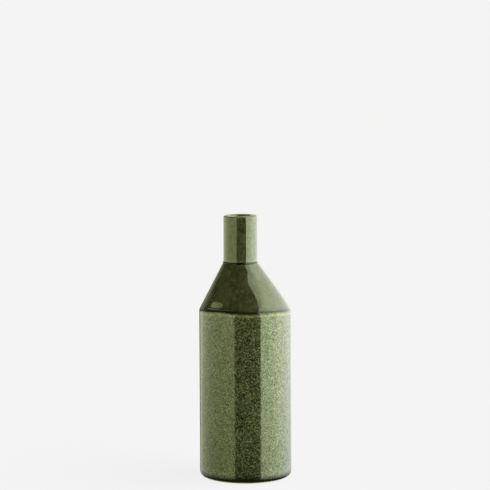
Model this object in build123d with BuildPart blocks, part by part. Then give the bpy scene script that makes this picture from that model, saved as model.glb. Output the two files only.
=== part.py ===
"""Stoneware bottle vase with a straight body, an off-centre tapering shoulder and a narrow neck.

The pot is built from four clay sections that are rebated into each other and luted with slip: a base
plate with a foot ring, a straight wall, an oblique cone for the shoulder and a tube for the neck. The
fired glaze lies over them as separate coats: a speckled coat on the body, a smooth coat on the shoulder
and another on the neck, glaze pooled in the corner at the root of the neck, and a liner coat inside.

Millimetres. +Z is up, the origin is the centre of the circle that the foot stands on, and the neck is
set off towards -X.
"""

import os

from build123d import *

# ---------------------------------------------------------------- driving dimensions
overall_height = 246.9
body_radius = 43.2  # over the glaze
neck_radius = 15.8  # over the glaze
neck_shift = -4.7  # the neck's axis, off the body's axis along X
shoulder_z = 158.0  # height of the edge between wall and shoulder
root_z = 203.0  # height of the neck's root
mouth_radius = 9.5  # free bore of the neck, inside the glaze

glaze = 0.5  # outer coats
liner = 0.4  # inner coat
clay_wall = 5.0  # thickness of the straight wall
floor_z = 7.0  # top of the base plate
slip = 0.4  # film of slip left in the joints
edge_fillet = 8.5  # on the clay's edge between wall and shoulder
swell_z = 175.0  # the shoulder swells a little on the +X side, most at this height
swell = 0.5

foot_radius = 40.9  # outside of the face that the foot stands on
foot_round_z = 2.7  # height where the rounded lower edge meets the wall
foot_ring_inner = 34.2  # inside of the foot ring
foot_recess = 1.6  # depth of the hollow under the base
glaze_stop_z = 1.0  # the body's coat stops this far above the table
bead_z = 5.0  # height of the rolled bead at the bottom of the body's coat
bead_out = 0.4  # how far the bead stands out

base_joint_z = 4.0  # outer face of the joint between base and wall
shoulder_joint_z = 153.6  # outer face of the joint between wall and shoulder
tongue_r = 40.2  # outside of the tongues in both body joints
tongue_rise = 3.0
socket_z = 200.0  # floor of the socket that takes the neck
spigot_r = 12.3  # outside of the neck's spigot
hollow_knee_z = 159.0  # where the hollow starts to narrow
throat_z = 198.5  # where the shoulder's hollow has narrowed to the bore
lip_z = 243.0  # the neck's coat runs over the lip and down to here inside
lip_fillet = 1.3  # on the clay's lip, inside and out
pool_drop = 1.4  # how far the pooled glaze reaches down the shoulder
pool_rise = 1.2  # and up the neck
pool_out = 0.8

# ---------------------------------------------------------------- derived dimensions
clay_r = body_radius - glaze  # outside of the clay wall
hollow_r = clay_r - clay_wall  # inside of the clay wall
neck_clay_r = neck_radius - glaze
bore_clay_r = mouth_radius + liner
top_clay_z = overall_height - glaze
swell_f = (swell_z - shoulder_z) / (root_z - shoulder_z)
swell_shift = neck_shift * swell_f + swell  # centre of the section at swell_z
swell_r = body_radius + (neck_radius - body_radius) * swell_f + swell  # over the glaze

os.makedirs("parts", exist_ok=True)


def at_height(z):
    """A horizontal plane at height z, on the body's axis."""
    return Plane.XY.offset(z)


def on_swell():
    """The horizontal plane of the shoulder's middle section."""
    return Plane(origin=(swell_shift, 0, swell_z), z_dir=(0, 0, 1))


def on_neck(z):
    """A horizontal plane at height z, on the neck's axis."""
    return Plane(origin=(neck_shift, 0, z), z_dir=(0, 0, 1))


# ---------------------------------------------------------------- envelopes used to cut with
# Outside of the clay shoulder, with its rounded lower edge.
with BuildPart() as shoulder_clay_outside:
    with BuildSketch(at_height(shoulder_joint_z + slip)):
        Circle(clay_r)
    extrude(amount=shoulder_z - shoulder_joint_z - slip)
    with BuildSketch(at_height(shoulder_z)):
        Circle(clay_r)
    with BuildSketch(on_swell()):
        Circle(swell_r - glaze)
    with BuildSketch(on_neck(root_z)):
        Circle(neck_clay_r)
    loft()
    fillet(
        shoulder_clay_outside.edges()
        .filter_by(GeomType.CIRCLE)
        .filter_by_position(Axis.Z, shoulder_z - 0.01, shoulder_z + 0.01),
        radius=edge_fillet,
    )

# Outside of the clay below the shoulder: the base's rounded lower edge and the straight wall.
with BuildPart() as body_clay_outside:
    with BuildSketch(Plane.XZ):
        with BuildLine():
            Line((0, 0), (foot_radius, 0))
            RadiusArc((foot_radius, 0), (clay_r, foot_round_z), -3.2)
            Polyline(
                (clay_r, foot_round_z),
                (clay_r, shoulder_joint_z + slip),
                (0, shoulder_joint_z + slip),
                (0, 0),
            )
        make_face()
    revolve(axis=Axis.Z)

# The hollow in the clay, from the floor to the bore.
with BuildPart() as clay_hollow:
    with BuildSketch(at_height(floor_z)):
        Circle(hollow_r)
    extrude(amount=hollow_knee_z - floor_z)
    with BuildSketch(at_height(hollow_knee_z)):
        Circle(hollow_r)
    with BuildSketch(on_neck(throat_z)):
        Circle(bore_clay_r)
    loft(ruled=True)
    with BuildSketch(on_neck(throat_z)):
        Circle(bore_clay_r)
    extrude(amount=top_clay_z + 5 - throat_z)

# The free space inside the liner coat, up to the lip.
with BuildPart() as free_hollow:
    with BuildSketch(at_height(floor_z + liner)):
        Circle(hollow_r - liner)
    extrude(amount=hollow_knee_z - floor_z - liner)
    fillet(
        free_hollow.edges().filter_by(GeomType.CIRCLE).sort_by(Axis.Z)[0],
        radius=3.0,
    )
    with BuildSketch(at_height(hollow_knee_z)):
        Circle(hollow_r - liner)
    with BuildSketch(on_neck(throat_z)):
        Circle(mouth_radius)
    loft(ruled=True)
    with BuildSketch(on_neck(throat_z)):
        Circle(mouth_radius)
    extrude(amount=top_clay_z + 5 - throat_z)


# ---------------------------------------------------------------- clay sections
# Base plate: foot ring, shallow hollow underneath, and the tongue that the wall fits over.
with BuildPart() as base_plate:
    with BuildSketch(Plane.XZ):
        with BuildLine():
            Polyline(
                (0, foot_recess),
                (foot_ring_inner - 1.6, foot_recess),
                (foot_ring_inner, 0),
                (foot_radius, 0),
            )
            RadiusArc((foot_radius, 0), (clay_r, foot_round_z), -3.2)
            Polyline(
                (clay_r, foot_round_z),
                (clay_r, base_joint_z),
                (tongue_r, base_joint_z),
                (tongue_r, base_joint_z + tongue_rise),
                (0, base_joint_z + tongue_rise),
                (0, foot_recess),
            )
        make_face()
    revolve(axis=Axis.Z)

# Straight wall: rebated inside at the bottom for the base, with a tongue at the top for the shoulder.
with BuildPart() as body_wall:
    with BuildSketch(at_height(base_joint_z + slip)):
        Circle(clay_r)
        Circle(tongue_r + slip, mode=Mode.SUBTRACT)
    extrude(amount=tongue_rise)
    with BuildSketch(at_height(base_joint_z + slip + tongue_rise)):
        Circle(clay_r)
        Circle(hollow_r, mode=Mode.SUBTRACT)
    extrude(amount=shoulder_joint_z - base_joint_z - slip - tongue_rise)
    with BuildSketch(at_height(shoulder_joint_z)):
        Circle(tongue_r)
        Circle(hollow_r, mode=Mode.SUBTRACT)
    extrude(amount=tongue_rise)

# Shoulder: an oblique cone that carries the neck's socket in its top.
with BuildPart() as shoulder_cone:
    add(shoulder_clay_outside.part)
    with BuildSketch(at_height(shoulder_joint_z + slip)):
        Circle(tongue_r + slip)
    extrude(amount=tongue_rise, mode=Mode.SUBTRACT)
    add(clay_hollow.part, mode=Mode.SUBTRACT)
    with BuildSketch(on_neck(socket_z)):
        Circle(spigot_r + slip)
    extrude(amount=root_z - socket_z + 1, mode=Mode.SUBTRACT)

# Neck: a tube with a spigot below and a rounded lip.
with BuildPart() as neck_tube:
    with BuildSketch(on_neck(socket_z + slip)):
        Circle(spigot_r)
        Circle(bore_clay_r, mode=Mode.SUBTRACT)
    extrude(amount=root_z - socket_z)
    with BuildSketch(on_neck(root_z + slip)):
        Circle(neck_clay_r)
        Circle(bore_clay_r, mode=Mode.SUBTRACT)
    extrude(amount=top_clay_z - root_z - slip)
    fillet(
        neck_tube.edges().filter_by(GeomType.CIRCLE).group_by(Axis.Z)[-1],
        radius=lip_fillet,
    )

# ---------------------------------------------------------------- slip left in the joints
with BuildPart() as base_slip_seam:
    with BuildSketch(Plane.XZ):
        with BuildLine():
            Polyline(
                (tongue_r, base_joint_z),
                (clay_r, base_joint_z),
                (clay_r, base_joint_z + slip),
                (tongue_r + slip, base_joint_z + slip),
                (tongue_r + slip, base_joint_z + slip + tongue_rise),
                (hollow_r, base_joint_z + slip + tongue_rise),
                (hollow_r, base_joint_z + tongue_rise),
                (tongue_r, base_joint_z + tongue_rise),
                close=True,
            )
        make_face()
    revolve(axis=Axis.Z)

with BuildPart() as shoulder_slip_seam:
    with BuildSketch(Plane.XZ):
        with BuildLine():
            Polyline(
                (tongue_r, shoulder_joint_z),
                (clay_r, shoulder_joint_z),
                (clay_r, shoulder_joint_z + slip),
                (tongue_r + slip, shoulder_joint_z + slip),
                (tongue_r + slip, shoulder_joint_z + slip + tongue_rise),
                (hollow_r, shoulder_joint_z + slip + tongue_rise),
                (hollow_r, shoulder_joint_z + tongue_rise),
                (tongue_r, shoulder_joint_z + tongue_rise),
                close=True,
            )
        make_face()
    revolve(axis=Axis.Z)

with BuildPart() as neck_slip_seam:
    with BuildSketch(on_neck(socket_z)):
        Circle(spigot_r + slip)
        Circle(bore_clay_r, mode=Mode.SUBTRACT)
    extrude(amount=slip)
    with BuildSketch(on_neck(socket_z + slip)):
        Circle(spigot_r + slip)
        Circle(spigot_r, mode=Mode.SUBTRACT)
    extrude(amount=root_z - socket_z - slip)
    with BuildSketch(on_neck(root_z)):
        Circle(neck_clay_r)
        Circle(spigot_r, mode=Mode.SUBTRACT)
    extrude(amount=slip)

# ---------------------------------------------------------------- glaze coats
coat_top_z = shoulder_joint_z + slip  # the body's coat stops just under the rounded edge

# Speckled coat on the wall, with its rolled bead above the bare foot.
with BuildPart() as body_glaze:
    with BuildSketch(Plane.XZ):
        with BuildLine():
            Line((foot_radius - 1.0, glaze_stop_z), (foot_radius + 1.35, glaze_stop_z))
            Spline(
                (foot_radius + 1.35, glaze_stop_z),
                (body_radius + bead_out * 0.6, foot_round_z + 0.6),
                (body_radius + bead_out, bead_z),
                (body_radius, bead_z + 4.0),
                tangents=[(1.0, 0.8), (0, 1)],
            )
            Polyline(
                (body_radius, bead_z + 4.0),
                (body_radius, coat_top_z),
                (foot_radius - 1.0, coat_top_z),
                (foot_radius - 1.0, glaze_stop_z),
            )
        make_face()
    revolve(axis=Axis.Z)
    add(body_clay_outside.part, mode=Mode.SUBTRACT)

# Smooth coat on the shoulder.
with BuildPart() as shoulder_glaze:
    with BuildSketch(at_height(coat_top_z)):
        Circle(body_radius)
    extrude(amount=shoulder_z - coat_top_z)
    with BuildSketch(at_height(shoulder_z)):
        Circle(body_radius)
    with BuildSketch(on_swell()):
        Circle(swell_r)
    with BuildSketch(on_neck(root_z)):
        Circle(neck_radius)
    loft()
    fillet(
        shoulder_glaze.edges()
        .filter_by(GeomType.CIRCLE)
        .filter_by_position(Axis.Z, shoulder_z - 0.01, shoulder_z + 0.01),
        radius=edge_fillet + glaze,
    )
    add(shoulder_clay_outside.part, mode=Mode.SUBTRACT)

# Smooth coat on the neck, over the lip and a little way down inside.
with BuildPart() as neck_glaze:
    with BuildSketch(on_neck(root_z)):
        Circle(neck_radius)
        Circle(mouth_radius, mode=Mode.SUBTRACT)
    extrude(amount=overall_height - root_z)
    fillet(
        neck_glaze.edges().filter_by(GeomType.CIRCLE).group_by(Axis.Z)[-1],
        radius=lip_fillet + 0.3,
    )
    add(neck_tube.part, mode=Mode.SUBTRACT)
    with BuildSketch(on_neck(root_z - 1)):
        Circle(neck_clay_r)
    extrude(amount=1 + slip, mode=Mode.SUBTRACT)
    with BuildSketch(on_neck(root_z)):
        Circle(bore_clay_r + 0.2)
    extrude(amount=lip_z - root_z, mode=Mode.SUBTRACT)

# Glaze pooled in the corner between shoulder and neck.
with BuildPart() as neck_root_glaze_pool:
    with BuildSketch(on_neck(root_z - pool_drop)):
        Circle(neck_radius + pool_out + 0.5)
    with BuildSketch(on_neck(root_z + pool_rise)):
        Circle(neck_radius)
    loft(ruled=True)
    with BuildSketch(on_neck(root_z)):
        Circle(neck_radius)
    extrude(amount=pool_rise, mode=Mode.SUBTRACT)
    with BuildSketch(at_height(shoulder_z)):
        Circle(body_radius)
    with BuildSketch(on_swell()):
        Circle(swell_r)
    with BuildSketch(on_neck(root_z)):
        Circle(neck_radius)
    loft(mode=Mode.SUBTRACT)

# Liner coat over the whole hollow and up the bore to the lip.
with BuildPart() as liner_glaze:
    add(clay_hollow.part)
    add(free_hollow.part, mode=Mode.SUBTRACT)
    with BuildSketch(on_neck(lip_z)):
        Circle(bore_clay_r + 5)
    extrude(amount=20, mode=Mode.SUBTRACT)

# ---------------------------------------------------------------- labels and files
base_plate.part.label = "base_plate"
body_wall.part.label = "body_wall"
shoulder_cone.part.label = "shoulder_cone"
neck_tube.part.label = "neck_tube"
base_slip_seam.part.label = "base_slip_seam"
shoulder_slip_seam.part.label = "shoulder_slip_seam"
neck_slip_seam.part.label = "neck_slip_seam"
body_glaze.part.label = "body_glaze"
shoulder_glaze.part.label = "shoulder_glaze"
neck_glaze.part.label = "neck_glaze"
neck_root_glaze_pool.part.label = "neck_root_glaze_pool"
liner_glaze.part.label = "liner_glaze"

export_step(base_plate.part, "parts/base_plate.step")
export_step(body_wall.part, "parts/body_wall.step")
export_step(shoulder_cone.part, "parts/shoulder_cone.step")
export_step(neck_tube.part, "parts/neck_tube.step")
export_step(base_slip_seam.part, "parts/base_slip_seam.step")
export_step(shoulder_slip_seam.part, "parts/shoulder_slip_seam.step")
export_step(neck_slip_seam.part, "parts/neck_slip_seam.step")
export_step(body_glaze.part, "parts/body_glaze.step")
export_step(shoulder_glaze.part, "parts/shoulder_glaze.step")
export_step(neck_glaze.part, "parts/neck_glaze.step")
export_step(neck_root_glaze_pool.part, "parts/neck_root_glaze_pool.step")
export_step(liner_glaze.part, "parts/liner_glaze.step")
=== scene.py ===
"""Looks of the stoneware bottle vase, in metres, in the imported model's own frame."""

import math

import bpy
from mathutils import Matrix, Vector, noise


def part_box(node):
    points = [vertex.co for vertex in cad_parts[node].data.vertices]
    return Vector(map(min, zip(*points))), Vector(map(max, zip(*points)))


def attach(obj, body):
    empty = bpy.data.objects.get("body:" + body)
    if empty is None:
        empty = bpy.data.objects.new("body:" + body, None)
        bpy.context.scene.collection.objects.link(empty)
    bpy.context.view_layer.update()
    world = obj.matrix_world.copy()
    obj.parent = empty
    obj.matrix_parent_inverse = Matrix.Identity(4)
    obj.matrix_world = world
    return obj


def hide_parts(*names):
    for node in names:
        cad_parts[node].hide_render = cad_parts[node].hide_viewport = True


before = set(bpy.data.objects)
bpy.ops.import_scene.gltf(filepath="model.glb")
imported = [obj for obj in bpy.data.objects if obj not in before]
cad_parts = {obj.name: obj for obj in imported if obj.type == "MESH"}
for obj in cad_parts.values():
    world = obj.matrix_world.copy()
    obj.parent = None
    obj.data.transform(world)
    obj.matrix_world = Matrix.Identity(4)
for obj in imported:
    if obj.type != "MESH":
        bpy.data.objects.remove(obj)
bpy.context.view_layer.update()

MM = 0.001

# ------------------------------------------------------------------ sizes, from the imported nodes, in mm
lo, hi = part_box("shoulder_glaze")
R_BODY = (hi[1] - lo[1]) / 2 / MM
lo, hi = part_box("neck_glaze")
R_NECK = (hi[1] - lo[1]) / 2 / MM
C_NECK = (hi[0] + lo[0]) / 2 / MM
Z_ROOT = lo[2] / MM
Z_TOP = hi[2] / MM
Z_EDGE = 158.0
R_BORE = 9.5
CLAY_BODY = R_BODY - 0.5
CLAY_NECK = R_NECK - 0.5
N = 384  # points round each coat


# ------------------------------------------------------------------ small helpers
def sstep(a, b, x):
    t = min(1.0, max(0.0, (x - a) / (b - a)))
    return t * t * (3 - 2 * t)


def nz(x, y, z, seed=0.0):
    return noise.noise(Vector((x + seed * 17.13, y - seed * 9.71, z + seed * 5.37)))


def curve(points, z):
    """A smooth line through (z, value) points, with level ends."""
    if z <= points[0][0]:
        return points[0][1]
    for i in range(len(points) - 1):
        (za, va), (zb, vb) = points[i], points[i + 1]
        if z <= zb:
            sa = (vb - points[i - 1][1]) / (zb - points[i - 1][0]) if i else 0.0
            sb = (
                (points[i + 2][1] - va) / (points[i + 2][0] - za)
                if i + 2 < len(points)
                else 0.0
            )
            h, t = zb - za, (z - za) / (zb - za)
            return (
                va * (2 * t**3 - 3 * t**2 + 1)
                + sa * h * (t**3 - 2 * t**2 + t)
                + vb * (-2 * t**3 + 3 * t**2)
                + sb * h * (t**3 - t**2)
            )
    return points[-1][1]


def ramp_z(z, th):
    """How far up the cone a height is, 0 at its edge and 1 at the neck's root, with the edge rounded.
    The rounding is tight on the -X side and wide on the +X side."""
    w = 1.85 + 0.75 * math.cos(th)
    d = z - Z_EDGE
    if d <= -w:
        return 0.0
    if d >= w:
        return d / (Z_ROOT - Z_EDGE)
    return (d + w) ** 2 / (4 * w) / (Z_ROOT - Z_EDGE)


def lean(z):
    """How far the pot's axis stands off +Z at a height: the wall leans a little towards -X."""
    if z < Z_EDGE:
        return 0.28 * (1 - 2 * z / Z_EDGE)
    return -0.28 * (1 - (z - Z_EDGE) / (Z_ROOT - Z_EDGE))


FOOT = [
    (0.6, R_BODY - 1.95),
    (1.3, R_BODY - 1.15),
    (2.2, R_BODY - 0.50),
    (3.3, R_BODY - 0.12),
    (4.6, R_BODY + 0.04),
    (6.0, R_BODY + 0.09),
    (7.5, R_BODY + 0.08),
    (9.5, R_BODY + 0.04),
    (12.0, R_BODY + 0.01),
    (16.0, R_BODY),
]


# How strongly a low ridge on the front right turns the surface, at each height. It is inferred from how the
# panel's edge wanders on the photographed shoulder.
RIDGE = [
    (158.0, 0.0),
    (160.0, 0.3),
    (162.0, 1.3),
    (164.5, 3.0),
    (167.5, 4.2),
    (170.5, 4.0),
    (174.0, 2.8),
    (177.5, 1.7),
    (181.0, 0.3),
    (184.0, -0.9),
    (187.0, -1.2),
    (191.0, -0.5),
    (195.0, 0.8),
    (199.0, 0.6),
    (203.0, 0.0),
]


def skin(th, z):
    """The outside of the glaze below the neck: its point at angle th and height z, in mm."""
    g = ramp_z(z, th)
    up = max(0.0, min(1.0, (z - Z_EDGE) / (Z_ROOT - Z_EDGE)))
    swell = 0.5 * math.sin(math.pi * up**0.73) if up > 0 else 0.0
    r = R_BODY + (R_NECK - R_BODY) * g + swell
    c = C_NECK * g + swell + lean(z)
    if z < 16:
        r += curve(FOOT, z) - R_BODY
    x, y = math.cos(th), math.sin(th)
    px, py = 42 * x, 42 * y
    if z < Z_EDGE + 4:
        k = sstep(2, 12, z)
        r += k * 0.030 * nz(px / 34, py / 34, z / 48, 1)
        r += k * 0.010 * nz(px / 11, py / 11, z / 15, 2)
        r -= 0.035 * k
    if z > Z_EDGE - 1:
        k = sstep(Z_EDGE, Z_EDGE + 6, z)
        # soft rings left by the fingers, and slow sags of the glaze
        r += k * 0.075 * nz(x * 0.9, y * 0.9, z / 8.5, 3)
        r += k * 0.030 * nz(px / 16, py / 16, z / 5.5, 4)
        r += k * 0.009 * nz(px / 5.5, py / 5.5, z / 3.4, 14)
        # a low swelling on the front left, just above the edge
        t = (math.degrees(th) + 132 + 180) % 360 - 180
        win = math.exp(-((t / 11.0) ** 4))
        r += 0.30 * win * sstep(163.0, 169.0, z) * (1 - sstep(169.5, 179, z))
        t = ((math.degrees(th) + 75 + 180) % 360 - 180) / 14.0
        r += 0.26 * curve(RIDGE, z) * t * math.exp(-t * t)
    return (c + r * x, r * y, z)


def neck_skin(th, z):
    x, y = math.cos(th), math.sin(th)
    r = R_NECK - 0.03
    r += 0.030 * nz(x * 1.1, y * 1.1, z / 14, 5)
    r += 0.07 * math.exp(-(((z - 241.0) / 3.0) ** 2)) - 0.05 * math.exp(
        -(((z - 235.5) / 3.0) ** 2)
    )
    r = min(r, R_NECK)
    return r


def shell(name, rows, mat, replaces, attrs=None, sharp=()):
    """A closed ring-shaped mesh. rows are closed rings of points in mm, in order round its section; the last
    ring joins the first. Rows listed in sharp are creased."""
    n = len(rows[0])
    verts = [(p[0] * MM, p[1] * MM, p[2] * MM) for row in rows for p in row]
    faces = []
    m = len(rows)
    for i in range(m):
        a, b = i * n, ((i + 1) % m) * n
        for j in range(n):
            k = (j + 1) % n
            faces.append((a + j, a + k, b + k, b + j))
    me = bpy.data.meshes.new(name)
    me.from_pydata(verts, [], faces)
    me.polygons.foreach_set("use_smooth", [True] * len(me.polygons))
    if sharp:
        flag = [False] * len(me.edges)
        rowset = set(sharp)
        for e in me.edges:
            va, vb = e.vertices
            if va // n == vb // n and va // n in rowset:
                flag[e.index] = True
        at = me.attributes.get("sharp_edge") or me.attributes.new(
            "sharp_edge", "BOOLEAN", "EDGE"
        )
        at.data.foreach_set("value", flag)
    for key, values in (attrs or {}).items():
        at = me.attributes.new(key, "FLOAT", "POINT")
        at.data.foreach_set("value", values)
    me.update()
    ob = bpy.data.objects.new(name, me)
    bpy.context.scene.collection.objects.link(ob)
    me.materials.append(mat)
    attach(ob, "root")
    if replaces:
        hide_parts(*replaces)
    return ob


# ------------------------------------------------------------------ node helper
class Graph:
    def __init__(self, tree):
        self.t = tree
        tree.nodes.clear()

    def node(self, kind, **props):
        nd = self.t.nodes.new(kind)
        ins = props.pop("ins", {})
        for k, v in props.items():
            setattr(nd, k, v)
        for k, v in ins.items():
            self.put(nd.inputs[k], v)
        return nd

    def put(self, sock, v):
        if isinstance(v, bpy.types.NodeSocket):
            self.t.links.new(v, sock)
        elif isinstance(v, bpy.types.Node):
            self.t.links.new(v.outputs[0], sock)
        else:
            sock.default_value = v

    def math(self, op, a, b=0.0, c=0.0, clamp=False):
        nd = self.t.nodes.new("ShaderNodeMath")
        nd.operation = op
        nd.use_clamp = clamp
        for s, v in zip(nd.inputs, (a, b, c)):
            self.put(s, v)
        return nd.outputs[0]

    def range(self, v, a, b, c=0.0, d=1.0, smooth=True):
        nd = self.t.nodes.new("ShaderNodeMapRange")
        nd.interpolation_type = "SMOOTHSTEP" if smooth else "LINEAR"
        nd.clamp = True
        for k, x in zip(("Value", "From Min", "From Max", "To Min", "To Max"), (v, a, b, c, d)):
            self.put(nd.inputs[k], x)
        return nd.outputs[0]

    def blend(self, f, a, b):
        return self.math("ADD", a, self.math("MULTIPLY", f, self.math("SUBTRACT", b, a)))

    def line(self, x, points):
        """Straight pieces through (x, value) points, level beyond both ends."""
        total = points[0][1]
        for (xa, va), (xb, vb) in zip(points, points[1:]):
            total = self.math("ADD", total, self.range(x, xa, xb, 0.0, vb - va, smooth=False))
        return total

    def mix(self, f, a, b, blend="MIX"):
        nd = self.t.nodes.new("ShaderNodeMix")
        nd.data_type = "RGBA"
        nd.blend_type = blend
        nd.clamp_factor = True
        self.put(nd.inputs[0], f)
        self.put(nd.inputs[6], a)
        self.put(nd.inputs[7], b)
        return nd.outputs[2]

    def noise(self, vec, scale, detail=2.0, rough=0.5, dist=0.0):
        nd = self.t.nodes.new("ShaderNodeTexNoise")
        self.put(nd.inputs["Vector"], vec)
        nd.inputs["Scale"].default_value = scale
        nd.inputs["Detail"].default_value = detail
        nd.inputs["Roughness"].default_value = rough
        nd.inputs["Distortion"].default_value = dist
        return nd.outputs[0]

    def cells(self, vec, scale, rand=1.0, feature="F1"):
        nd = self.t.nodes.new("ShaderNodeTexVoronoi")
        nd.feature = feature
        self.put(nd.inputs["Vector"], vec)
        nd.inputs["Scale"].default_value = scale
        nd.inputs["Randomness"].default_value = rand
        return nd


def col(r, g, b):
    return (r, g, b, 1.0)


def srgb(r, g, b):
    f = lambda v: (
        v / 255 / 12.92 if v / 255 <= 0.04045 else ((v / 255 + 0.055) / 1.055) ** 2.4
    )
    return (f(r), f(g), f(b), 1.0)


TINT = col(0.88, 1.0, 0.62)


def principled(g, base, rough, bump=None, tint=TINT, spec=0.5):
    nd = g.node("ShaderNodeBsdfPrincipled")
    g.put(nd.inputs["Base Color"], base)
    g.put(nd.inputs["Roughness"], rough)
    nd.inputs["IOR"].default_value = 1.5
    nd.inputs["Specular IOR Level"].default_value = spec
    nd.inputs["Specular Tint"].default_value = tint
    if bump is not None:
        g.put(nd.inputs["Normal"], bump)
    out = g.node("ShaderNodeOutputMaterial")
    g.t.links.new(nd.outputs[0], out.inputs[0])
    return nd


def new_mat(name):
    m = bpy.data.materials.new(name)
    m.use_nodes = True
    return m, Graph(m.node_tree)


def bump(g, height, dist, strength=1.0, under=None):
    nd = g.node("ShaderNodeBump")
    nd.inputs["Strength"].default_value = strength
    nd.inputs["Distance"].default_value = dist
    g.put(nd.inputs["Height"], height)
    if under is not None:
        g.put(nd.inputs["Normal"], under)
    return nd.outputs[0]


# ------------------------------------------------------------------ materials
def speckled_glaze():
    m, g = new_mat("speckled_glaze")
    co = g.node("ShaderNodeTexCoord").outputs["Object"]
    zed = g.node("ShaderNodeSeparateXYZ", ins={0: co}).outputs[2]
    brk = g.node("ShaderNodeAttribute", attribute_name="brk").outputs["Fac"]
    # grains of two sizes, each with its own shade, and slow clouds
    mid = g.noise(co, 600, 2.0, 0.55)
    cloud = g.noise(co, 45, 3.0, 0.5)
    big = g.cells(co, 1020)
    small = g.cells(co, 1900)
    b3 = g.node("ShaderNodeSeparateColor", ins={0: big.outputs["Color"]}).outputs
    s3 = g.node("ShaderNodeSeparateColor", ins={0: small.outputs["Color"]}).outputs
    v = g.math("ADD", g.math("MULTIPLY", b3[0], 0.55), g.math("MULTIPLY", s3[0], 0.25))
    v = g.math("ADD", v, g.math("MULTIPLY", g.range(mid, 0.3, 0.7), 0.20))
    base = g.mix(g.range(v, 0.22, 0.50), col(0.0022, 0.0030, 0.0004), col(0.031, 0.037, 0.0115))
    base = g.mix(g.range(v, 0.50, 0.77), base, col(0.098, 0.112, 0.045))
    # pale grains, rusty ones and a few nearly black
    base = g.mix(g.range(b3[1], 0.955, 0.965), base, col(0.125, 0.142, 0.068))
    base = g.mix(g.range(b3[2], 0.90, 0.93, 0.0, 0.65), base, col(0.052, 0.032, 0.005))
    base = g.mix(g.range(s3[1], 0.92, 0.95, 0.0, 0.7), base, col(0.006, 0.007, 0.002))
    base = g.mix(g.range(cloud, 0.3, 0.7, 0.0, 0.22), base, col(0.024, 0.030, 0.008))
    # darker at the foot: partly thicker glaze where the coat has run down, partly painted shade of the curve under the
    # wall and the contact shadow
    foot = g.range(g.math("ADD", zed, g.math("MULTIPLY", mid, 0.002)), 0.0045, 0.0105, 0.97, 0.0)
    # a little greener low down
    base = g.mix(g.range(zed, 0.03, 0.12, 1.0, 0.0), base, g.mix(1.0, base, col(0.93, 1.0, 1.04), blend="MULTIPLY"))
    # a little darker over the lowest part: painted shade where less light reaches the low wall
    base = g.mix(g.range(zed, 0.008, 0.045, 0.17, 0.0), base, col(0.0025, 0.0034, 0.0008))
    base = g.mix(foot, base, col(0.0025, 0.0034, 0.0008))
    # thin over the edge, where the clay's own colour comes through
    knots = g.noise(co, 240, 2.0, 0.6)
    jit = g.math("MULTIPLY", g.math("SUBTRACT", knots, 0.5), 2.2)
    b = g.math("ADD", brk, jit)
    thin = g.math("MULTIPLY", g.range(b, -3.9, -2.4), g.range(b, -1.9, -0.7, 1.0, 0.0))
    lively = g.range(g.noise(co, 190, 2.0, 0.6), 0.38, 0.60, 0.35, 1.0)
    base = g.mix(g.math("MULTIPLY", g.math("MULTIPLY", thin, lively), 0.70), base, col(0.168, 0.180, 0.078))
    dull = g.math("MULTIPLY", g.range(b, -1.6, -0.6), 0.64)
    base = g.mix(dull, base, col(0.020, 0.021, 0.008))
    shine = g.math("ADD", g.math("MULTIPLY", b3[2], 0.5), g.math("MULTIPLY", s3[2], 0.5))
    shine = g.range(shine, 0.15, 0.80, 0.17, 0.77, smooth=False)
    n1 = bump(g, g.noise(co, 170, 2.0, 0.5), 0.00005)
    n2 = bump(g, v, 0.000012, 1.0, n1)
    rough = g.range(b3[0], 0.0, 1.0, 0.045, 0.075)
    nd = principled(g, base, rough, n2)
    g.put(nd.inputs["Specular IOR Level"], shine)
    return m


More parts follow.
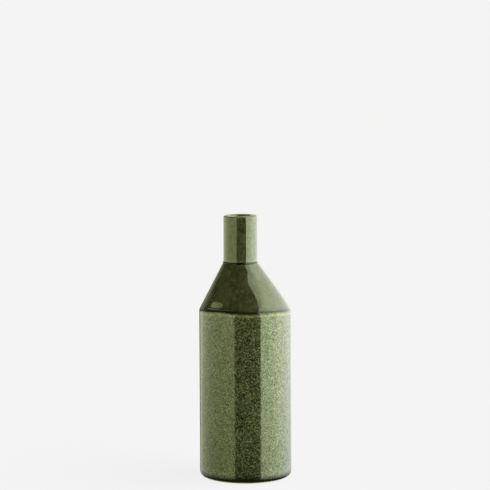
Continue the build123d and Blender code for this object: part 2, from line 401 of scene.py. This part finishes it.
def smooth_glaze(name="smooth_glaze", neck=False):
    m, g = new_mat(name)
    co = g.node("ShaderNodeTexCoord").outputs["Object"]
    zed = g.node("ShaderNodeSeparateXYZ", ins={0: co}).outputs[2]
    brk = g.node("ShaderNodeAttribute", attribute_name="brk").outputs["Fac"]
    cloud = g.noise(co, 60, 3.0, 0.55)
    streak = g.node("ShaderNodeMapping", ins={0: co})
    streak.inputs["Scale"].default_value = (1.0, 1.0, 0.16)
    run = g.noise(streak.outputs[0], 330, 2.0, 0.5)
    mottle = g.noise(co, 250, 3.0, 0.6)
    grain = g.noise(co, 900, 2.0, 0.6)
    cell = g.cells(co, 1000)
    pick = g.node("ShaderNodeSeparateColor", ins={0: cell.outputs["Color"]}).outputs
    if neck:
        dark, light = col(0.0127, 0.0135, 0.0041), col(0.0432, 0.0450, 0.0156)
        v = g.math("ADD", g.math("MULTIPLY", mottle, 0.6), g.math("MULTIPLY", run, 0.4))
        base = g.mix(g.range(v, 0.40, 0.60), dark, light)
        base = g.mix(g.range(cloud, 0.40, 0.65, 0.0, 0.30), base, col(0.020, 0.022, 0.007))
        base = g.mix(g.range(pick[0], 0.55, 1.0, 0.0, 0.45), base, col(0.070, 0.074, 0.024))
    else:
        dark, light = col(0.0175, 0.0185, 0.0056), col(0.0400, 0.0420, 0.0145)
        v = g.math("ADD", g.math("MULTIPLY", cloud, 0.35), g.math("MULTIPLY", mottle, 0.35))
        v = g.math("ADD", v, g.math("MULTIPLY", run, 0.30))
        base = g.mix(g.range(v, 0.40, 0.60), dark, light)
        base = g.mix(g.range(pick[0], 0.55, 1.0, 0.0, 0.30), base, col(0.058, 0.062, 0.020))
    shine = g.math("ADD", g.math("MULTIPLY", mottle, 0.5), g.math("MULTIPLY", pick[1], 0.5))
    shine = g.range(shine, 0.25, 0.75, 0.43, 0.56, smooth=False)
    if neck:
        jit = g.math("MULTIPLY", g.math("SUBTRACT", cloud, 0.5), 0.0025)
        h = g.math("ADD", zed, jit)
        # thinner just above the root and over the lip
        base = g.mix(g.range(h, 0.2050, 0.2072, 0.55, 0.0), base, col(0.068, 0.074, 0.026))
        base = g.mix(g.range(h, 0.2440, 0.2460, 0.0, 0.5), base, col(0.095, 0.094, 0.040))
    else:
        jit = g.math("MULTIPLY", g.math("SUBTRACT", run, 0.5), 0.8)
        b = g.math("ADD", brk, jit)
        base = g.mix(g.range(b, 2.0, 7.0, 0.45, 0.0), base, col(0.008, 0.009, 0.003))
        base = g.mix(g.range(b, 0.6, 2.6, 0.9, 0.0), base, col(0.003, 0.003, 0.001))
        # the thick edge of the coat is duller, all the way round
        near = g.range(b, 1.5, 2.6, 1.0, 0.0)
        shine = g.blend(near, shine, g.math("MULTIPLY", shine, 0.60))
    n1 = bump(g, g.noise(co, 130, 2.0, 0.5), 0.00004)
    n2 = bump(g, grain, 0.000010, 1.0, n1)
    nd = principled(g, base, g.range(grain, 0.3, 0.7, 0.05, 0.08), n2)
    g.put(nd.inputs["Specular IOR Level"], shine)
    return m


def pooled_glaze():
    m, g = new_mat("pooled_glaze")
    co = g.node("ShaderNodeTexCoord").outputs["Object"]
    cloud = g.noise(co, 220, 3.0, 0.55)
    # near-black: partly darker pooled glaze, partly painted shade in the corner between neck and shoulder
    base = g.mix(g.range(cloud, 0.35, 0.65), col(0.0022, 0.0022, 0.0008), col(0.007, 0.0075, 0.0026))
    n = bump(g, g.noise(co, 260, 2.0, 0.5), 0.00004)
    principled(g, base, 0.06, n, spec=0.3)
    return m


def bare_clay(name="bare_clay", turned=False):
    m, g = new_mat(name)
    co = g.node("ShaderNodeTexCoord").outputs["Object"]
    grit = g.noise(co, 1400, 3.0, 0.65)
    cloud = g.noise(co, 70, 3.0, 0.5)
    cell = g.cells(co, 520)
    pick = g.node("ShaderNodeSeparateColor", ins={0: cell.outputs["Color"]})
    base = g.mix(g.range(cloud, 0.3, 0.7), col(0.235, 0.200, 0.070), col(0.330, 0.285, 0.105))
    base = g.mix(g.range(grit, 0.35, 0.65, 0.0, 0.35), base, col(0.430, 0.380, 0.165))
    iron = g.math(
        "MULTIPLY",
        g.range(cell.outputs["Distance"], 0.10, 0.24, 1.0, 0.0),
        g.range(pick.outputs[0], 0.80, 0.86),
    )
    base = g.mix(iron, base, col(0.060, 0.032, 0.014))
    n = bump(g, grit, 0.00010)
    if turned:
        wv = g.node("ShaderNodeTexWave", wave_type="RINGS", rings_direction="Z", ins={"Vector": co})
        wv.inputs["Scale"].default_value = 190
        wv.inputs["Distortion"].default_value = 0.6
        n = bump(g, wv.outputs["Fac"], 0.00006, 1.0, n)
    principled(g, base, g.range(grit, 0.3, 0.7, 0.72, 0.88), n, tint=col(1, 1, 1), spec=0.3)
    return m


def slip():
    m, g = new_mat("slip")
    co = g.node("ShaderNodeTexCoord").outputs["Object"]
    grit = g.noise(co, 1800, 3.0, 0.6)
    base = g.mix(g.range(grit, 0.35, 0.65), col(0.26, 0.20, 0.11), col(0.36, 0.29, 0.17))
    principled(g, base, 0.85, bump(g, grit, 0.00005), tint=col(1, 1, 1), spec=0.3)
    return m


def liner():
    m, g = new_mat("liner_glaze")
    co = g.node("ShaderNodeTexCoord").outputs["Object"]
    grain = g.noise(co, 800, 2.0, 0.6)
    cloud = g.noise(co, 50, 3.0, 0.5)
    base = g.mix(g.range(grain, 0.35, 0.65), col(0.020, 0.022, 0.007), col(0.042, 0.046, 0.017))
    base = g.mix(g.range(cloud, 0.3, 0.7, 0.0, 0.4), base, col(0.015, 0.015, 0.005))
    principled(g, base, 0.12, bump(g, grain, 0.00003))
    return m


M_BODY = speckled_glaze()
M_SHOULDER = smooth_glaze()
M_NECK = smooth_glaze("neck_glaze", neck=True)
M_POOL = pooled_glaze()
M_CLAY = bare_clay()
M_FOOT = bare_clay("foot_clay", turned=True)
M_SLIP = slip()
M_LINER = liner()

# ------------------------------------------------------------------ the coats
TH = [2 * math.pi * j / N for j in range(N)]


def stop(th):
    """Height where the body's coat stops above the bare foot."""
    return (
        1.05
        + 0.30 * nz(math.cos(th) * 2.3, math.sin(th) * 2.3, 0.0, 6)
        + 0.10 * nz(math.cos(th) * 9, math.sin(th) * 9, 0.0, 7)
    )


SEAM = [
    (-180.0, -0.3),
    (-165.0, -0.2),
    (-151.0, 0.1),
    (-144.0, 0.85),
    (-137.0, 1.5),
    (-132.0, 1.85),
    (-127.0, 2.4),
    (-120.0, 2.7),
    (-114.5, 2.35),
    (-108.0, 2.1),
    (-98.0, 2.2),
    (-91.0, 1.95),
    (-84.0, 1.7),
    (-76.0, 2.0),
    (-64.0, 2.1),
    (-54.0, 2.15),
    (-40.0, 1.65),
    (-27.0, 1.1),
    (-12.0, 0.3),
    (0.0, -0.1),
    (20.0, 0.1),
    (50.0, 0.9),
    (90.0, 1.2),
    (130.0, 0.7),
    (160.0, 0.0),
    (180.0, -0.3),
]


def brk_z(th):
    """Height of the line over the edge where body and shoulder coats meet."""
    c = math.cos(th)
    return (
        Z_EDGE
        - 0.45
        - 0.35 * c
        + curve(SEAM, (math.degrees(th) + 180) % 360 - 180)
        + 0.16 * nz(c * 3.1, math.sin(th) * 3.1, 0.0, 8)
        + 0.10 * nz(c * 12, math.sin(th) * 12, 0.0, 9)
    )


def clay_foot(z):
    """Radius of the clay's rounded lower edge."""
    return curve([(0.0, R_BODY - 2.3), (0.6, R_BODY - 2.1), (1.4, R_BODY - 1.4), (2.7, R_BODY - 0.75), (5, R_BODY - 0.5)], z)


def clay_skin(th, z):
    """Just inside the clay's outside, up to the neck's root."""
    g = ramp_z(z, th)
    up = max(0.0, min(1.0, (z - Z_EDGE) / (Z_ROOT - Z_EDGE)))
    swell = 0.5 * math.sin(math.pi * up**0.73) if up > 0 else 0.0
    r = CLAY_BODY + (CLAY_NECK - CLAY_BODY) * g + swell - 0.12 - 0.35 * math.exp(-(((z - Z_EDGE) / 3.5) ** 2))
    if z < 6:
        r = clay_foot(z) - 0.10
    c = C_NECK * g + swell
    return (c + r * math.cos(th), r * math.sin(th), z)


def body_coat():
    rows, brk = [], []
    M = 196
    tops = [brk_z(t) for t in TH]
    bots = [stop(t) for t in TH]
    # rolled lower edge, from the clay outwards
    rows.append([clay_skin(t, b + 0.15) for t, b in zip(TH, bots)])
    brk += [-20.0] * N
    for i in range(M + 1):
        s = i / M
        # closer rings near both ends
        u = s + 0.055 * math.sin(2 * math.pi * s) * -1.0
        row = []
        for t, b, e in zip(TH, bots, tops):
            z = b + (e - b) * u
            row.append(skin(t, z))
            brk.append(max(-20.0, z - e))
        rows.append(row)
    for u in (1.0, 0.985, 0.75, 0.5, 0.25, 0.05, 0.02):
        row = []
        for t, b, e in zip(TH, bots, tops):
            row.append(clay_skin(t, b + 0.15 + (e - b - 0.15) * u))
            brk.append(-20.0)
        rows.append(row)
    shell(
        "body_coat",
        rows,
        M_BODY,
        ["body_glaze"],
        {"brk": brk},
        sharp=(0, M + 1, M + 2),
    )


def shoulder_coat():
    rows, brk = [], []
    M = 110
    tops = [brk_z(t) for t in TH]
    zt = Z_ROOT - 0.6
    for i in range(M + 1):
        s = i / M
        u = 0.35 * s + 0.65 * s * s
        row = []
        for t, e in zip(TH, tops):
            z = e + (zt - e) * u
            row.append(skin(t, z))
            brk.append(min(20.0, z - e))
        rows.append(row)
    for u in (1.0, 0.8, 0.6, 0.4, 0.2, 0.1, 0.04, 0.0):
        row = []
        for t, e in zip(TH, tops):
            row.append(clay_skin(t, e + (zt - e) * u))
            brk.append(20.0)
        rows.append(row)
    shell(
        "shoulder_coat",
        rows,
        M_SHOULDER,
        ["shoulder_glaze"],
        {"brk": brk},
        sharp=(0, M, M + 1, M + 8),
    )


def neck_coat():
    n = N // 2
    ths = [2 * math.pi * j / n for j in range(n)]
    rows = []

    def ring(fr, fz):
        rows.append(
            [
                (C_NECK + fr(t) * math.cos(t), fr(t) * math.sin(t), fz(t))
                for t in ths
            ]
        )

    z0, lip, lip_in = Z_ROOT + 0.2, 1.3, 1.7
    top = lambda t: Z_TOP - 0.22 + 0.16 * math.cos(t) + 0.05 * nz(
        math.cos(t) * 1.6, math.sin(t) * 1.6, 0.0, 10
    )
    M = 90
    for i in range(M + 1):
        s = i / M
        ring(lambda t, s=s: neck_skin(t, z0 + (Z_TOP - lip - z0) * s), lambda t, s=s: z0 + (top(t) - lip - z0) * s)
    # over the lip
    ro = lambda t: neck_skin(t, Z_TOP - lip)
    for i in range(1, 13):
        a = math.pi / 2 * i / 12
        ring(lambda t, a=a: ro(t) - lip * (1 - math.cos(a)), lambda t, a=a: top(t) - lip * (1 - math.sin(a)))
    for i in range(0, 13):
        a = math.pi / 2 * i / 12
        ring(lambda t, a=a: R_BORE + lip_in * (1 - math.sin(a)), lambda t, a=a: top(t) - lip_in * (1 - math.cos(a)))
    for z in (243.6, 243.2, 243.02):
        ring(lambda t: R_BORE, lambda t, z=z: z)
    inner = [
        (R_BORE + 0.55, 243.02),
        (R_BORE + 0.75, 244.0),
        (R_BORE + 1.4, 245.6),
        (R_BORE + 2.6, 246.1),
        (R_BORE + 3.9, 246.1),
        (CLAY_NECK - 0.7, 245.8),
        (CLAY_NECK - 0.15, 244.6),
        (CLAY_NECK - 0.12, 238.0),
        (CLAY_NECK - 0.12, 225.0),
        (CLAY_NECK - 0.12, 212.0),
        (CLAY_NECK - 0.12, z0 + 0.5),
        (CLAY_NECK - 0.12, z0),
    ]
    for r, z in inner:
        ring(lambda t, r=r: r, lambda t, z=z: z)
    last = len(rows) - 1
    shell("neck_coat", rows, M_NECK, ["neck_glaze"], None, sharp=(0, last))


def root_pool():
    """Glaze pooled in the corner under the neck: a flat dark ledge, wider where it has run down. Its near-black colour
    is partly the pooled glaze and partly painted shade in the corner.
    """
    rows = []
    prof = [  # share of the way in from the shoulder to the neck, share of the way up
        (0.0, 0.0),
        (0.02, 0.10),
        (0.08, 0.20),
        (0.22, 0.36),
        (0.42, 0.52),
        (0.64, 0.66),
        (0.82, 0.77),
        (0.93, 0.86),
        (0.985, 0.94),
        (1.0, 1.0),
    ]
    lines = []
    for t in TH:
        c, s = math.cos(t), math.sin(t)
        top = Z_ROOT + 0.85 + 0.12 * nz(c * 1.8, s * 1.8, 0.0, 11)
        low = Z_ROOT - 1.15 + 0.35 * max(0.0, c) + 0.15 * nz(c * 2.4, s * 2.4, 0.0, 12)
        px, py, _ = skin(t, low)
        lines.append((top, low, math.hypot(px - C_NECK, py) + 0.05, neck_skin(t, top) + 0.01))
    for u, v in prof:
        row = []
        for t, (top, low, rb, ra) in zip(TH, lines):
            r = rb + (ra - rb) * u + 0.30 * math.sin(math.pi * min(1.0, v / 0.7)) * (v < 0.7)
            row.append((C_NECK + r * math.cos(t), r * math.sin(t), low + (top - low) * v))
        rows.append(row)
    for v in (1.0, 0.5, 0.0):
        row = []
        for t, (top, low, rb, ra) in zip(TH, lines):
            r = R_NECK - 0.6
            row.append((C_NECK + r * math.cos(t), r * math.sin(t), low + (top - low) * v))
        rows.append(row)
    m = len(prof) - 1
    shell(
        "root_pool",
        rows,
        M_POOL,
        ["neck_root_glaze_pool"],
        None,
        sharp=(0, m, m + 1, m + 3),
    )


def turned_base():
    """The base with its foot ring, shallow hollow and turning marks."""
    prof = []  # (r, z) from the middle of the underside outwards and back over the top
    for i in range(0, 33):
        r = 0.02 + i * 1.0
        prof.append((r, 1.6 + 0.05 * math.sin(r * 2.4) - 0.10 * sstep(0, 5, 5 - r)))
    prof += [(32.6, 1.45), (33.2, 0.8), (33.7, 0.25), (34.2, 0.04), (35.0, 0.0)]
    prof += [(36.0, 0.03), (37.5, 0.0), (39.0, 0.03), (40.0, 0.0), (40.4, 0.10)]
    prof += [(clay_foot(z), z) for z in (0.35, 0.7, 1.1, 1.6, 2.2, 3.0, 3.98)]
    prof += [(40.2, 4.0), (40.2, 6.98), (20.0, 7.0), (0.02, 7.0)]
    n = N // 2
    rows = []
    for r, z in prof:
        row = []
        for j in range(n):
            t = 2 * math.pi * j / n
            c, s = math.cos(t), math.sin(t)
            k = sstep(0.2, 6, r)
            dz = 0.0
            if z < 2.5 and 5 < r < 33:
                dz = k * 0.06 * nz(c * r / 9, s * r / 9, 0.0, 13)
            row.append((r * c, r * s, max(0.0, z + dz)))
        rows.append(row)
    ob = shell("turned_base", rows, M_FOOT, ["base_plate"])
    return ob


body_coat()
shoulder_coat()
neck_coat()
root_pool()
turned_base()

for node, mat in (
    ("body_wall", M_CLAY),
    ("shoulder_cone", M_CLAY),
    ("neck_tube", M_CLAY),
    ("base_slip_seam", M_SLIP),
    ("shoulder_slip_seam", M_SLIP),
    ("neck_slip_seam", M_SLIP),
    ("liner_glaze", M_LINER),
):
    ob = bpy.data.objects[node] if node in bpy.data.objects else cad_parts[node]
    for i in range(len(ob.material_slots)):
        ob.material_slots[i].material = mat

# ------------------------------------------------------------------ floor
PALE = 0.905
me = bpy.data.meshes.new("floor")
S = 40.0
me.from_pydata([(-S, -S, 0), (S, -S, 0), (S, S, 0), (-S, S, 0)], [], [(0, 1, 2, 3)])
floor = bpy.data.objects.new("floor", me)
bpy.context.scene.collection.objects.link(floor)
m, g = new_mat("floor")
diff = g.node("ShaderNodeBsdfDiffuse")
diff.inputs["Color"].default_value = col(0.050, 0.050, 0.050)
emit = g.node("ShaderNodeEmission")
emit.inputs["Color"].default_value = col(1, 1, 1)
emit.inputs["Strength"].default_value = 0.832
add = g.node("ShaderNodeAddShader")
g.t.links.new(diff.outputs[0], add.inputs[0])
g.t.links.new(emit.outputs[0], add.inputs[1])
out = g.node("ShaderNodeOutputMaterial")
g.t.links.new(add.outputs[0], out.inputs[0])
me.materials.append(m)
floor.visible_glossy = False

# ------------------------------------------------------------------ studio light: two soft panels in a pale room
# It is one even light for the whole object: nothing in it is set for one part of the pot.
world = bpy.data.worlds.new("studio")
bpy.context.scene.world = world
world.use_nodes = True
g = Graph(world.node_tree)
way = g.node("ShaderNodeTexCoord").outputs["Generated"]
sep = g.node("ShaderNodeSeparateXYZ", ins={0: way})
X, Y, Z = sep.outputs
side = g.math("MAXIMUM", g.math("ABSOLUTE", X), 0.0005)
u = g.math("DIVIDE", Y, side)
v = g.math("DIVIDE", Z, side)


# how far round a direction is, in degrees off the camera's side, either way
round_ = g.math("MULTIPLY", g.math("ARCTAN2", side, g.math("MULTIPLY", Y, -1.0)), 180 / math.pi)
# the panels stop at the floor
to_floor = g.line(Z, [(-0.55, 0.0), (-0.26, 0.45), (-0.14, 1.0)])


def panel(on, front, top, slope, soft, points, strength):
    """A soft panel beside the pot, from an angle at its front to its back end and up to its top. It fades
    evenly to its back and a little to its top."""
    p_ = g.math("MULTIPLY", on, g.range(round_, front - soft, front + soft))
    rise = g.math("ADD", v, g.math("MULTIPLY", u, slope))  # the top edge may slope down to the back
    p_ = g.math("MULTIPLY", p_, g.range(rise, top - 0.03, top + 0.03, 1.0, 0.0))
    p_ = g.math("MULTIPLY", p_, g.line(round_, points))
    p_ = g.math("MULTIPLY", p_, g.range(v, 0.0, 1.6, 1.0, 0.50, smooth=False))
    return g.math("MULTIPLY", g.math("MULTIPLY", p_, to_floor), strength)


right = panel(
    g.math("GREATER_THAN", X, 0.0), 38.9, 3.0, 0.0, 1.3, [(38.0, 0.82), (92.0, 1.0), (150.0, 0.26), (180.0, 0.10)], 7.9
)
left = panel(
    g.math("LESS_THAN", X, 0.0), 27.0, 0.62, 0.45, 1.3, [(27.0, 1.0), (110.0, 0.86), (180.0, 0.32)], 2.70
)
# the pale room behind, seen above the panels' backs
back = g.math("MULTIPLY", g.range(Y, 0.55, 1.0, 0.0, 0.62, smooth=False), g.range(Z, -0.02, 0.06))
room = 0.10


def tinted(value, r_, g_, b_):
    nd = g.node("ShaderNodeCombineColor")
    for k, w in enumerate((r_, g_, b_)):
        g.put(nd.inputs[k], g.math("MULTIPLY", value, w))
    return nd.outputs[0]


def plus(a_, b_):
    return g.mix(1.0, a_, b_, blend="ADD")


lit = plus(tinted(right, 0.97, 1.0, 0.97), tinted(left, 0.98, 1.0, 0.79))
lit = plus(lit, tinted(back, 0.92, 1.0, 0.72))
lit = plus(lit, col(room * 0.97, room * 0.98, room * 0.74))
seen = g.node("ShaderNodeLightPath").outputs["Is Camera Ray"]
bg = g.node("ShaderNodeBackground")
g.put(bg.inputs["Color"], g.mix(seen, lit, col(PALE, PALE, PALE)))
bg.inputs["Strength"].default_value = 1.0
out = g.node("ShaderNodeOutputWorld")
g.t.links.new(bg.outputs[0], out.inputs[0])

# ------------------------------------------------------------------ camera
cam_data = bpy.data.cameras.new("camera")
cam = bpy.data.objects.new("camera", cam_data)
bpy.context.scene.collection.objects.link(cam)
cam_data.sensor_width = 36.0
cam_data.lens = 151.4
cam.location = (-0.00044, -1.919, 0.435)
cam.rotation_euler = (math.radians(90 - 6.43), 0, 0)
cam_data.clip_start, cam_data.clip_end = 0.05, 60.0
bpy.context.scene.camera = cam
bpy.context.scene.view_settings.view_transform = "Standard"
bpy.context.scene.view_settings.look = "None"
bpy.context.scene.view_settings.exposure = 0.0
bpy.context.scene.view_settings.gamma = 1.0
